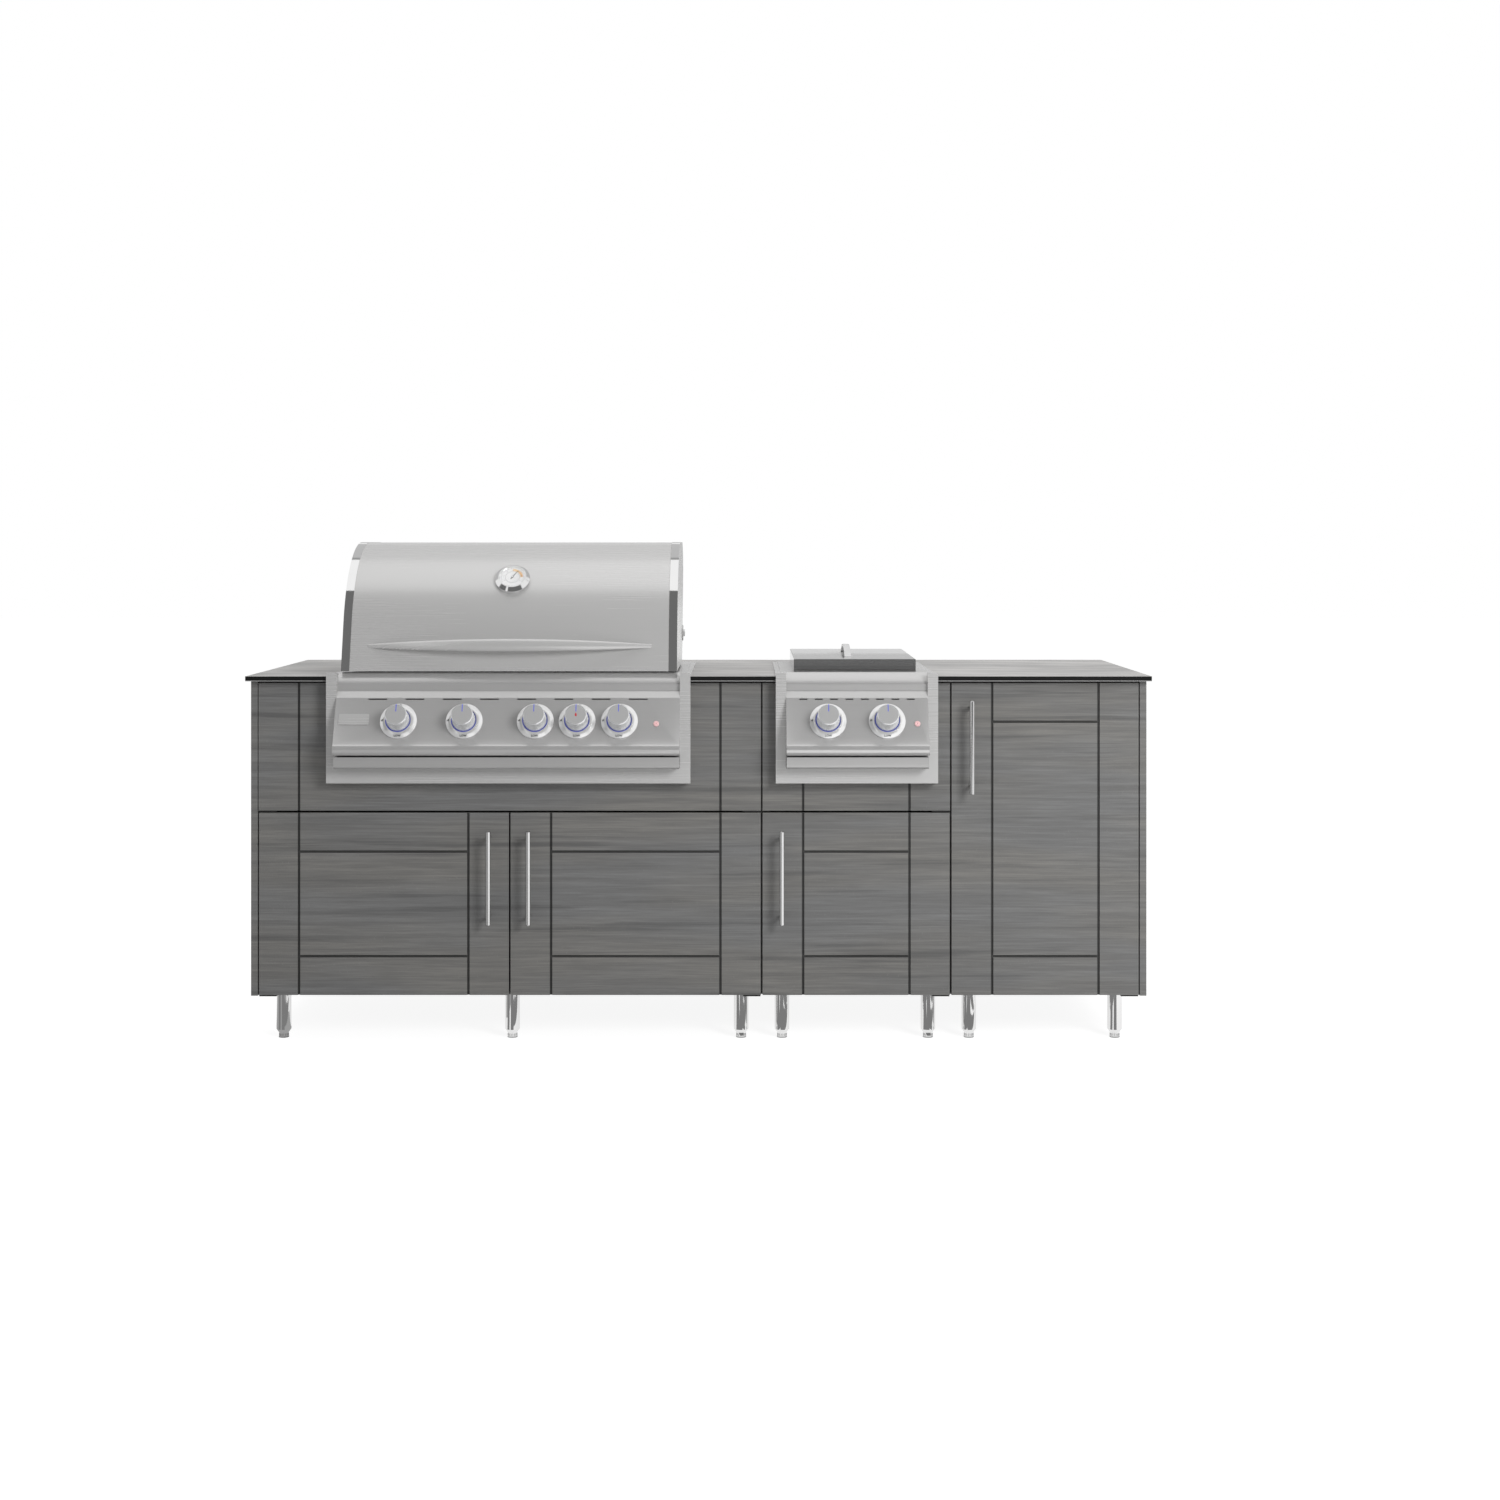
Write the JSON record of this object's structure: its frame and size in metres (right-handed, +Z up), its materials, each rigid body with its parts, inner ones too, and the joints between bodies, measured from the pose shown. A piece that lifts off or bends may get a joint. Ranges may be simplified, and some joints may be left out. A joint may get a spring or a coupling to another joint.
{
  "type": "outdoor kitchen island",
  "caption": "Grey outdoor kitchen island: cabinets on legs, stone worktop, drop-in gas grill with a curved hood, side burner with lid, knobs, drip trays and opening doors.",
  "frame": {"origin": "on the floor, under the middle of the whole object's box", "axes": "+X along the island to the cook's right, +Y from the doors to the back, +Z up"},
  "size_m": [2.1828, 0.8542, 1.2118],
  "materials": {
    "grey_board": "grey board with an embossed straight grain",
    "worktop_stone": "light grey compact stone, honed, with a black core at the edges",
    "leg_steel": "polished stainless tube",
    "brushed_steel": "stainless sheet, brushed",
    "polished_steel": "polished",
    "plated_steel": "zinc plated",
    "burner_steel": "plain stainless, slightly heat tinted",
    "grate_steel": "stainless rod",
    "cast_iron": "black, matte",
    "knob_metal": "satin",
    "button_plastic": "pale translucent",
    "black_paint": "satin",
    "red_paint": "printed marks",
    "amber_paint": "printed arc of the thermometer",
    "dial_white": "matte thermometer dial",
    "blue_light": "lit ring round a knob",
    "clear_glass": "flat thermometer glass"
  },
  "bodies": {
    "island": {"end_panels": "grey_board", "grill_cabinet_box": "grey_board", "burner_cabinet_box": "grey_board", "storage_cabinet_box": "grey_board", "storage_shelf": "grey_board", "grill_cabinet_front": "grey_board", "burner_cabinet_front": "grey_board", "leg_tubes": "leg_steel", "levelling_feet": "leg_steel", "countertop": "worktop_stone", "door_pivot_brackets": "plated_steel", "grill_jacket": "brushed_steel", "grill_firebox": "brushed_steel", "hood_pivot_pins": "plated_steel", "grill_control_panel": "brushed_steel", "grill_gas_manifold": "plated_steel", "grill_burners": "burner_steel", "flame_tamers": "burner_steel", "cooking_grates": "grate_steel", "warming_rack": "grate_steel", "burner_jacket": "brushed_steel", "burner_pan": "brushed_steel", "burner_control_panel": "brushed_steel", "burner_gas_manifold": "plated_steel", "burner_heads": "cast_iron", "burner_grate": "cast_iron", "knob_bezels": "polished_steel"},
    "left_door": {"left_door": "grey_board", "left_door_handle": "brushed_steel"},
    "center_door": {"center_door": "grey_board", "center_door_handle": "brushed_steel"},
    "burner_door": {"burner_door": "grey_board", "burner_door_handle": "brushed_steel"},
    "storage_door": {"storage_door": "grey_board", "storage_door_handle": "brushed_steel"},
    "hood": {"hood_shell": "brushed_steel", "hood_liner": "brushed_steel", "hood_trim": "polished_steel", "hood_handle": "brushed_steel", "thermometer_case": "polished_steel"},
    "thermometer_needle": {"thermometer_needle": "black_paint"},
    "grill_plunger_1": {"grill_plunger_1": "plated_steel"},
    "grill_knob_1": {"grill_knob_1": "knob_metal"},
    "grill_plunger_2": {"grill_plunger_2": "plated_steel"},
    "grill_knob_2": {"grill_knob_2": "knob_metal"},
    "grill_plunger_3": {"grill_plunger_3": "plated_steel"},
    "grill_knob_3": {"grill_knob_3": "knob_metal"},
    "grill_plunger_4": {"grill_plunger_4": "plated_steel"},
    "grill_knob_4": {"grill_knob_4": "knob_metal"},
    "grill_plunger_5": {"grill_plunger_5": "plated_steel"},
    "grill_knob_5": {"grill_knob_5": "knob_metal"},
    "grill_light_button": {"grill_light_button": "button_plastic"},
    "grill_drip_tray": {"grill_drip_tray": "brushed_steel"},
    "burner_plunger_1": {"burner_plunger_1": "plated_steel"},
    "burner_knob_1": {"burner_knob_1": "knob_metal"},
    "burner_plunger_2": {"burner_plunger_2": "plated_steel"},
    "burner_knob_2": {"burner_knob_2": "knob_metal"},
    "burner_light_button": {"burner_light_button": "button_plastic"},
    "burner_drip_tray": {"burner_drip_tray": "brushed_steel"},
    "burner_lid": {"burner_lid": "brushed_steel"}
  },
  "joints": [
    {"name": "left_door_hinge", "type": "hinge", "parent": "island", "child": "left_door", "pos_m": [-1.0588, -0.30349, 0.4], "axis": [0, 0, -1], "range_deg": [0, 105]},
    {"name": "center_door_hinge", "type": "hinge", "parent": "island", "child": "center_door", "pos_m": [0.1444, -0.30349, 0.4], "axis": [0, 0, 1], "range_deg": [0, 105]},
    {"name": "burner_door_hinge", "type": "hinge", "parent": "island", "child": "burner_door", "pos_m": [0.6016, -0.30349, 0.4], "axis": [0, 0, 1], "range_deg": [0, 105]},
    {"name": "storage_door_hinge", "type": "hinge", "parent": "island", "child": "storage_door", "pos_m": [1.0588, -0.30349, 0.4], "axis": [0, 0, 1], "range_deg": [0, 105]},
    {"name": "hood_hinge", "type": "hinge", "parent": "island", "child": "hood", "pos_m": [-0.4572, 0.11851, 0.975], "axis": [-1, 0, 0], "range_deg": [0, 80]},
    {"name": "needle_turn", "type": "hinge", "parent": "hood", "child": "thermometer_needle", "pos_m": [-0.4572, -0.23758, 1.118], "axis": [0, -0.7533, 0.6577], "range_deg": [-100, 160]},
    {"name": "grill_push_1", "type": "slide", "parent": "island", "child": "grill_plunger_1", "axis": [0, 0.9078, -0.4195], "range_m": [0, 0.003], "stiffness_N_per_m": 1500, "springref_m": -0.0015},
    {"name": "grill_turn_1", "type": "hinge", "parent": "grill_plunger_1", "child": "grill_knob_1", "pos_m": [-0.71621, -0.37166, 0.78253], "axis": [0, -0.9078, 0.4195], "range_deg": [0, 180]},
    {"name": "grill_push_2", "type": "slide", "parent": "island", "child": "grill_plunger_2", "axis": [0, 0.9078, -0.4195], "range_m": [0, 0.003], "stiffness_N_per_m": 1500, "springref_m": -0.0015},
    {"name": "grill_turn_2", "type": "hinge", "parent": "grill_plunger_2", "child": "grill_knob_2", "pos_m": [-0.55922, -0.37166, 0.78253], "axis": [0, -0.9078, 0.4195], "range_deg": [0, 180]},
    {"name": "grill_push_3", "type": "slide", "parent": "island", "child": "grill_plunger_3", "axis": [0, 0.9078, -0.4195], "range_m": [0, 0.003], "stiffness_N_per_m": 1500, "springref_m": -0.0015},
    {"name": "grill_turn_3", "type": "hinge", "parent": "grill_plunger_3", "child": "grill_knob_3", "pos_m": [-0.38919, -0.37166, 0.78253], "axis": [0, -0.9078, 0.4195], "range_deg": [0, 180]},
    {"name": "grill_push_4", "type": "slide", "parent": "island", "child": "grill_plunger_4", "axis": [0, 0.9078, -0.4195], "range_m": [0, 0.003], "stiffness_N_per_m": 1500, "springref_m": -0.0015},
    {"name": "grill_turn_4", "type": "hinge", "parent": "grill_plunger_4", "child": "grill_knob_4", "pos_m": [-0.28915, -0.37166, 0.78253], "axis": [0, -0.9078, 0.4195], "range_deg": [0, 180]},
    {"name": "grill_push_5", "type": "slide", "parent": "island", "child": "grill_plunger_5", "axis": [0, 0.9078, -0.4195], "range_m": [0, 0.003], "stiffness_N_per_m": 1500, "springref_m": -0.0015},
    {"name": "grill_turn_5", "type": "hinge", "parent": "grill_plunger_5", "child": "grill_knob_5", "pos_m": [-0.1882, -0.37166, 0.78253], "axis": [0, -0.9078, 0.4195], "range_deg": [0, 180]},
    {"name": "grill_light_press", "type": "slide", "parent": "island", "child": "grill_light_button", "axis": [0, 0.9078, -0.4195], "range_m": [0, 0.0015], "stiffness_N_per_m": 400, "springref_m": -0.001},
    {"name": "grill_tray_slide", "type": "slide", "parent": "island", "child": "grill_drip_tray", "axis": [0, -1, 0], "range_m": [0, 0.4]},
    {"name": "burner_push_1", "type": "slide", "parent": "island", "child": "burner_plunger_1", "axis": [0, 0.9078, -0.4195], "range_m": [0, 0.003], "stiffness_N_per_m": 1500, "springref_m": -0.0015},
    {"name": "burner_turn_1", "type": "hinge", "parent": "burner_plunger_1", "child": "burner_knob_1", "pos_m": [0.31042, -0.37166, 0.78253], "axis": [0, -0.9078, 0.4195], "range_deg": [0, 180]},
    {"name": "burner_push_2", "type": "slide", "parent": "island", "child": "burner_plunger_2", "axis": [0, 0.9078, -0.4195], "range_m": [0, 0.003], "stiffness_N_per_m": 1500, "springref_m": -0.0015},
    {"name": "burner_turn_2", "type": "hinge", "parent": "burner_plunger_2", "child": "burner_knob_2", "pos_m": [0.45158, -0.37166, 0.78253], "axis": [0, -0.9078, 0.4195], "range_deg": [0, 180]},
    {"name": "burner_light_press", "type": "slide", "parent": "island", "child": "burner_light_button", "axis": [0, 0.9078, -0.4195], "range_m": [0, 0.0015], "stiffness_N_per_m": 400, "springref_m": -0.001},
    {"name": "burner_tray_slide", "type": "slide", "parent": "island", "child": "burner_drip_tray", "axis": [0, -1, 0], "range_m": [0, 0.4]},
    {"name": "lid_lift", "type": "slide", "parent": "island", "child": "burner_lid", "axis": [0, 0, 1], "range_m": [0, 0.15]}
  ]
}
